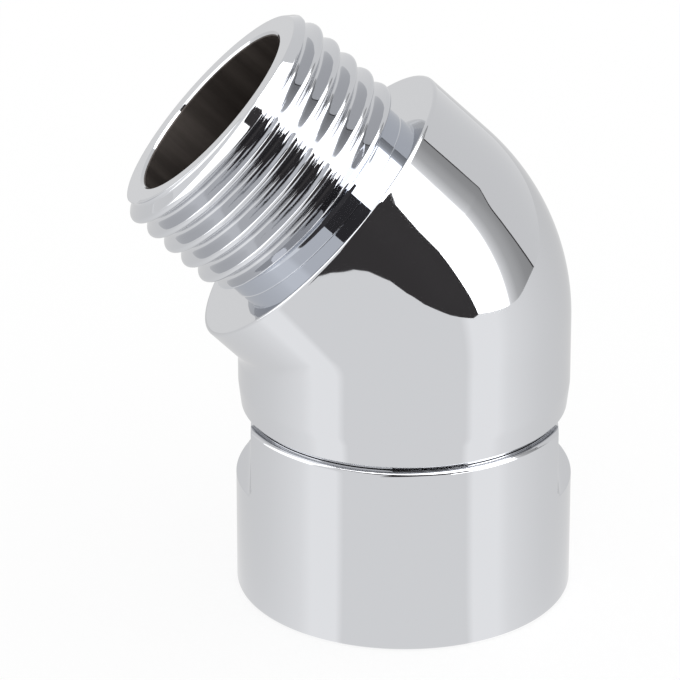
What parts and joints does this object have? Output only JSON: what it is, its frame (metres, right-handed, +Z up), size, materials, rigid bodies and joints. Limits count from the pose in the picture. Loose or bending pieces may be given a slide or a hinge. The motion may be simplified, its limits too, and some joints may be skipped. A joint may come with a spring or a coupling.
{
  "type": "shower hose elbow adapter",
  "caption": "Polished chrome shower hose elbow with an angled male pipe stub and a captive swivel nut that has wrench flats and a rubber washer.",
  "frame": {"origin": "centre of the swivel nut's lower face, on the nut's axis", "axes": "+Z up along the nut's axis towards the elbow; the stub leans from +Z towards -X in the XZ plane; +Y points away from the side that the picture shows"},
  "size_m": [0.0353, 0.027, 0.0475],
  "materials": {
    "body_chrome": "mirror polished chrome plate on brass",
    "nut_chrome": "mirror polished chrome plate on brass",
    "spring_steel": "plain stainless spring steel",
    "washer_rubber": "matt black rubber"
  },
  "bodies": {
    "elbow": {"elbow_body": "body_chrome", "retaining_ring": "spring_steel"},
    "nut": {"swivel_nut": "nut_chrome", "sealing_washer": "washer_rubber"}
  },
  "joints": [
    {"name": "nut_spin", "type": "hinge", "parent": "elbow", "child": "nut", "pos_m": [0, 0, 0], "axis": [0, 0, 1], "continuous": true}
  ]
}
